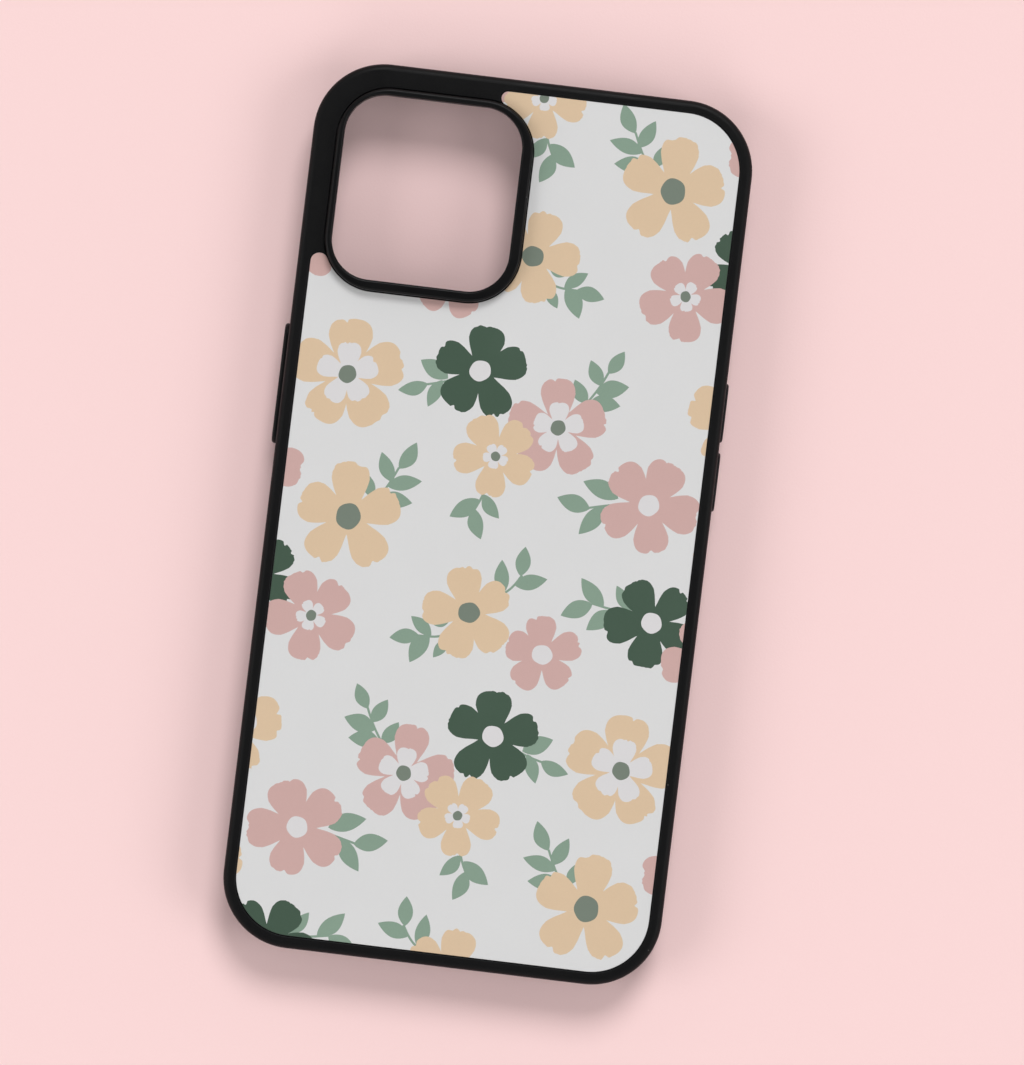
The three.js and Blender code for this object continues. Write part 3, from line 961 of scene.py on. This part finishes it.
def counterclockwise(points):
    area = sum(p.x * q.y - q.x * p.y for p, q in zip(points, points[1:] + points[:1]))
    return points if area > 0 else points[::-1]


def printed_face(shell, outline, z):
    """The insert's face, divided along the edges of the inks. Returns the loop round it.

    Where shapes lie over each other, a triangle takes the ink of the one printed last."""
    shapes = printed_shapes()
    loops = [[Vector(p) for p in outline]] + [counterclockwise(points) for _, points in shapes]
    corners, faces = [], []
    for loop in loops:
        faces.append(list(range(len(corners), len(corners) + len(loop))))
        corners += loop
    inside_only, merge_distance = 1, 1e-5
    made = delaunay_2d_cdt(corners, [], faces, inside_only, merge_distance, True)
    points, triangles, owners = made[0], made[2], made[5]
    inside = [(triangle, max(owner)) for triangle, owner in zip(triangles, owners) if 0 in owner]
    used = sorted({corner for triangle, _ in inside for corner in triangle})
    row = dict(zip(used, shell.row(flat_row([points[k] for k in used], z))))
    border = {}
    for triangle, top in inside:
        shell.face([row[k] for k in triangle], shapes[top - 1][0] if top else GROUND)
        for first, second in zip(triangle, triangle[1:] + triangle[:1]):
            if border.pop((second, first), None) is None:
                border[(first, second)] = True
    follow = {first: second for first, second in border}
    start = next(iter(follow))
    loop = [start]
    while follow[loop[-1]] != start:
        loop.append(follow[loop[-1]])
    return [row[k] for k in loop]


def grown_loop(shell, loop, grow, z):
    """A loop moved outward in its own plane and to another height."""
    count = len(loop)
    points = []
    for k in range(count):
        before = shell.points[loop[k - 1]].xy
        here = shell.points[loop[k]].xy
        after = shell.points[loop[(k + 1) % count]].xy
        ahead = (here - before).normalized() + (after - here).normalized()
        out = Vector((ahead.y, -ahead.x)).normalized()
        points.append((here.x + out.x * grow, here.y + out.y * grow, z))
    return shell.row(points)


# --- Pieces ----------------------------------------------------------------

def bumper_frame():
    """Wall, lip, seam line, rim with its wide corner, and the groove that holds the panel."""
    shell = Shell()
    case_ring = partial(ring, CASE)
    lip_edge = -WALL - LIP_REACH
    groove = GROOVE_DEPTH - WALL
    outside = edge_rows(case_ring, lip_edge + LIP_EDGE_RADIUS, LIP_EDGE_RADIUS, LIP_EDGE_RADIUS, 180, 270)
    outside += edge_rows(case_ring, -BOTTOM_FILLET, BOTTOM_FILLET, BOTTOM_FILLET, 270, 360)
    for share, proud in SEAM_PROFILE:
        outside.append(flat_row(case_ring(SEAM_PROUD * (proud - 1)), SEAM_HEIGHT + share * SEAM_WIDTH))
    outside += edge_rows(case_ring, -TOP_FILLET, RIM_Z - TOP_FILLET, TOP_FILLET, 0, 90)
    made = shell.skin(outside)
    edge = edge_rows(rim_opening, RIM_EDGE_RADIUS, RIM_Z - RIM_EDGE_RADIUS, -RIM_EDGE_RADIUS, 270, 360)
    edge.append(flat_row(rim_opening(), PANEL.high.z))
    opening = shell.skin(edge)
    shell.fill([made[-1], opening[0]])
    inside = [
        flat_row(case_ring(groove), PANEL.high.z),
        flat_row(case_ring(groove), PANEL.low.z),
        flat_row(case_ring(-WALL), PANEL.low.z),
        flat_row(case_ring(-WALL), LIP_HEIGHT),
        flat_row(case_ring(lip_edge), LIP_HEIGHT),
    ]
    back = shell.skin(inside)
    shell.fill([back[0], opening[-1]])
    shell.band(back[-1], made[0])
    piece = shell.piece("bumper_frame_moulded", [BUMPER_RUBBER])
    return carve(piece, wall_cutters())


def button_boxes(name):
    return box_mm(f"{name}_cap"), box_mm(f"{name}_web")


def side_rect(box, radius):
    """The rounded rectangle that a box fills, seen along X."""
    middle = (box.low + box.high) / 2
    half = (box.high - box.low) / 2
    return Rect(middle.y, middle.z, half.y, half.z, radius)


def pill(cap):
    """The outline of a button cap, with a short flat at each round end."""
    return side_rect(cap, (cap.high.z - cap.low.z - BUTTON_END_FLAT) / 2)


def inner_outer(box):
    """How far out from the middle of the case a box in a long wall starts and ends."""
    return sorted((abs(box.low.x), abs(box.high.x)))


def wall_cutters():
    """The blocks for the button windows, the webs' rebates behind them and the wall's slots."""
    cutters = []
    inside = WALL_FACE_X - CUT_MARGIN
    for name, side in BUTTONS.items():
        cap, web = button_boxes(name)
        hole = pill(cap)
        window = Rect(hole.x, hole.y, hole.half_x + BUTTON_GAP, hole.half_y + BUTTON_GAP,
                      hole.radius + BUTTON_GAP)
        cutters.append(cutter(flared_cutter(side_row, window, side * inside, side * CASE.half_x)))
        flange = side_rect(web, WEB_CORNER_RADIUS)
        rebate = [side_row(flange, WEB_GAP, side * x) for x in (inside, WALL_FACE_X + WEB_FLANGE)]
        cutters.append(cutter(rebate))
    cutters.append(cutter(flared_cutter(side_row, SWITCH_SLOT, inside, CASE.half_x)))
    for slot in (PORT_SLOT, *SOUND_SLOTS):
        cutters.append(cutter(flared_cutter(end_row, slot, CUT_MARGIN - WALL_FACE_Y, -CASE.half_y)))
    return cutters


def back_panel():
    """A flat panel with rounded edges, and a window that the guard's skirt passes through."""
    shell = Shell()
    edge = PANEL_EDGE_RADIUS
    outer = rect_of(PANEL, OUTER_RADIUS + PANEL.high.x - CASE.half_x)

    def window(grow):
        return ring(WINDOW, GUARD_SKIRT + PANEL_WINDOW_GAP - grow)

    sides = []
    for outline in (partial(ring, outer), window):
        rows = edge_rows(outline, -edge, PANEL.low.z + edge, edge, 270, 360)
        rows += edge_rows(outline, -edge, PANEL.high.z - edge, edge, 0, 90)
        sides.append(shell.skin(rows))
    shell.fill([made[0] for made in sides])
    shell.fill([made[-1] for made in sides])
    return shell.piece("back_panel_moulded", [PANEL_PLASTIC])


def camera_guard():
    """The raised ring, its skirt through the panel, and a soft break on each top edge."""
    shell = Shell()
    outer, inner = partial(ring, GUARD_RECT), partial(ring, WINDOW)
    rows = [flat_row(outer(), PANEL.high.z)]
    rows += edge_rows(outer, -GUARD_OUTER_FILLET, GUARD.high.z - GUARD_OUTER_FILLET,
                      GUARD_OUTER_FILLET, 0, 90)
    rows += edge_rows(inner, GUARD_INNER_FILLET, GUARD.high.z - GUARD_INNER_FILLET,
                      GUARD_INNER_FILLET, 90, 180)
    rows += edge_rows(inner, SKIRT_EDGE_RADIUS, PANEL.low.z + SKIRT_EDGE_RADIUS,
                      SKIRT_EDGE_RADIUS, 180, 270)
    rows.append(flat_row(inner(GUARD_SKIRT), PANEL.low.z))
    rows.append(flat_row(inner(GUARD_SKIRT), PANEL.high.z))
    shell.skin(rows, closed=True)
    return shell.piece("camera_guard_ring", [GUARD_PLASTIC])


def adhesive_sheet():
    """A thin sheet, a little smaller than the insert that it holds."""
    shell = Shell()
    outline = insert_outline(-ADHESIVE_INSET)
    shell.block([flat_row(outline, ADHESIVE.low.z), flat_row(outline, ADHESIVE.high.z)])
    return shell.piece("adhesive_film_sheet", [ADHESIVE_FILM])


def insert_plate():
    """The printed sheet: inks on its face, bare metal on its broken edge, sides and back."""
    shell = Shell()
    face = printed_face(shell, insert_outline(-INSERT_EDGE), INSERT.high.z)
    shoulder = grown_loop(shell, face, INSERT_EDGE, INSERT.high.z - INSERT_EDGE)
    foot = grown_loop(shell, face, INSERT_EDGE, INSERT.low.z)
    shell.band(face, shoulder, METAL)
    shell.band(shoulder, foot, METAL)
    shell.fill([foot], METAL)
    return shell.piece("insert_plate_printed", [*INKS, SHEARED_METAL])


def button_cap(name, side):
    """A long cap with round ends, a rounded edge and a shallow dish for the fingertip."""
    shell = Shell()
    cap, _ = button_boxes(name)
    shape = pill(cap)
    base, face = inner_outer(cap)
    edge = BUTTON_EDGE_RADIUS
    rows = [side_row(shape, 0, side * base)]
    for across, up in quarter(edge, 0, 90):
        rows.append(side_row(shape, across - edge, side * (face - edge + up)))
    rim = edge + DISH_BORDER
    deepest = shape.radius - DISH_FLAT
    for k in range(1, DISH_STEPS + 1):
        share = k / DISH_STEPS
        grow = rim + (deepest - rim) * share
        drop = BUTTON_DISH * math.sin(share * math.pi / 2) ** 2
        rows.append(side_row(shape, -grow, side * (face - drop)))
    shell.block(rows)
    return shell.piece(f"{name}_cap_moulded", [BUTTON_RUBBER])


def button_web(name, side):
    """The flexing web: a flange in the wall's rebate and a thin tray that carries the cap."""
    shell = Shell()
    cap, web = button_boxes(name)
    tray = pill(cap)
    flange = side_rect(web, WEB_CORNER_RADIUS)
    face = WALL_FACE_X + WEB_FLANGE
    _, top = inner_outer(web)
    rows = [
        side_row(tray, -RELIEF_INSET, side * face),
        side_row(tray, -RELIEF_INSET, side * (WALL_FACE_X + RELIEF_CHAMFER)),
        side_row(tray, -RELIEF_INSET + RELIEF_CHAMFER, side * WALL_FACE_X),
        side_row(flange, 0, side * WALL_FACE_X),
        side_row(flange, 0, side * face),
    ]
    for across, up in quarter(WEB_FILLET, 270, 180):
        rows.append(side_row(tray, WEB_FILLET + across, side * (face + WEB_FILLET + up)))
    rows.append(side_row(tray, 0, side * top))
    shell.block(rows)
    return shell.piece(f"{name}_web_moulded", [BUTTON_RUBBER])


def settle(piece, body, node):
    """A piece of the shell: it rides on a body, and the node that it stands for is hidden."""
    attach(piece, body)
    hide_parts(node)


settle(bumper_frame(), "case_shell", "bumper_frame")
settle(back_panel(), "case_shell", "back_panel")
settle(adhesive_sheet(), "case_shell", "adhesive_sheet")
settle(insert_plate(), "case_shell", "insert_plate")
settle(camera_guard(), "case_shell", "camera_guard")

for button, side in BUTTONS.items():
    settle(button_cap(button, side), button, f"{button}_cap")
    web = button_web(button, side)
    cap_box, _ = button_boxes(button)
    middle = (cap_box.low + cap_box.high) / 2
    cap_base, _ = inner_outer(cap_box)
    flex = (WALL_FACE_X + WEB_HELD_TO, cap_base)
    start, end = [Vector((side * x, middle.y, middle.z)) * MM for x in flex]
    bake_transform(web)
    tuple(start)
    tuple(end)
    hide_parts(f"{button}_web")


# --- Floor, light and camera -----------------------------------------------

ROLL = math.radians(6.9)
VIEW_WIDTH = 0.1886
VIEW_SHIFT = (0.00446, -0.0015)
LENS = 300.0
SENSOR = 36.0
FLOOR_HALF = 6000
FLOOR_DROP = 0.00005

# Soft lights: direction round the case, counterclockwise from the camera's right, height and spread
# in degrees, and how bright each one makes a white sheet that lies flat
SOFT_BOXES = {
    "key_box": (75, 50, 24, 0.36),
    "left_box": (185, 40, 32, 0.14),
    "right_box": (-15, 40, 32, 0.14),
    "near_box": (270, 42, 32, 0.08),
}


def paper_floor():
    """A wide sheet of pale pink paper, a hair below the case."""
    shell = Shell()
    half = FLOOR_HALF
    shell.face(shell.row([(-half, -half, 0), (half, -half, 0), (half, half, 0), (-half, half, 0)]))
    material, tree, shader = new_material("paper_floor", Specular_IOR_Level=0.2)
    fibre = noise(tree, 2500.0, 3.0)
    pink = mixed(tree, fibre, srgb(251, 216, 215), srgb(253, 220, 219))
    surface(tree, shader, pink, stretch(tree, fibre, 0.3, 0.7, 0.8, 0.9), fibre, 0.00002)
    floor = shell.piece("paper_floor", [material])
    floor.location.z = -FLOOR_DROP


def put(name, data, spot, turn):
    """A light or a camera in the scene, at a spot and turned."""
    holder = bpy.data.objects.new(name, data)
    bpy.context.scene.collection.objects.link(holder)
    holder.location = spot
    holder.rotation_mode = "QUATERNION"
    holder.rotation_quaternion = turn
    return holder


def camera_axes():
    """The camera's right and up, along the floor: it sees the case turned a little clockwise."""
    right = Vector((math.cos(ROLL), math.sin(ROLL), 0))
    up = Vector((-math.sin(ROLL), math.cos(ROLL), 0))
    return right, up


def soft_box(name, turn, rise, spread, brightness):
    """A broad soft light from far off."""
    right, up = camera_axes()
    turn, rise = math.radians(turn), math.radians(rise)
    level = right * math.cos(turn) + up * math.sin(turn)
    direction = level * math.cos(rise) + Vector((0, 0, math.sin(rise)))
    light = bpy.data.lights.new(name, "SUN")
    light.angle = math.radians(spread)
    light.energy = math.pi * brightness / math.sin(rise)
    put(name, light, direction, direction.to_track_quat("Z", "Y"))


def studio_sky():
    """An even pale surround, brighter towards the horizon."""
    world = bpy.data.worlds.new("studio_sky")
    bpy.context.scene.world = world
    world.use_nodes = True
    tree = world.node_tree
    tree.nodes.clear()
    where = add(tree, "ShaderNodeTexCoord").outputs["Generated"]
    height = add(tree, "ShaderNodeSeparateXYZ", Vector=where).outputs["Z"]
    strength = stretch(tree, height, 0.0, 0.8, 0.7, 0.18, smooth=True)
    background = add(tree, "ShaderNodeBackground", Color=(1.0, 0.985, 0.98, 1.0), Strength=strength)
    output = tree.nodes.new("ShaderNodeOutputWorld")
    tree.links.new(background.outputs["Background"], output.inputs["Surface"])


def studio_camera():
    """A long lens straight above the back."""
    right, up = camera_axes()
    out = Vector((0, 0, 1))
    camera = bpy.data.cameras.new("camera")
    camera.lens = LENS
    camera.sensor_width = SENSOR
    camera.sensor_fit = "HORIZONTAL"
    camera.clip_start = 0.01
    camera.clip_end = 20.0
    aim = right * VIEW_SHIFT[0] + up * VIEW_SHIFT[1] + out * INSERT.high.z * MM
    spot = aim + out * (VIEW_WIDTH * LENS / SENSOR)
    turn = Matrix((right, up, out)).transposed().to_quaternion()
    bpy.context.scene.camera = put("camera", camera, spot, turn)


paper_floor()
studio_sky()
for box_name, settings in SOFT_BOXES.items():
    soft_box(box_name, *settings)
studio_camera()
bpy.context.scene.view_settings.view_transform = "Standard"
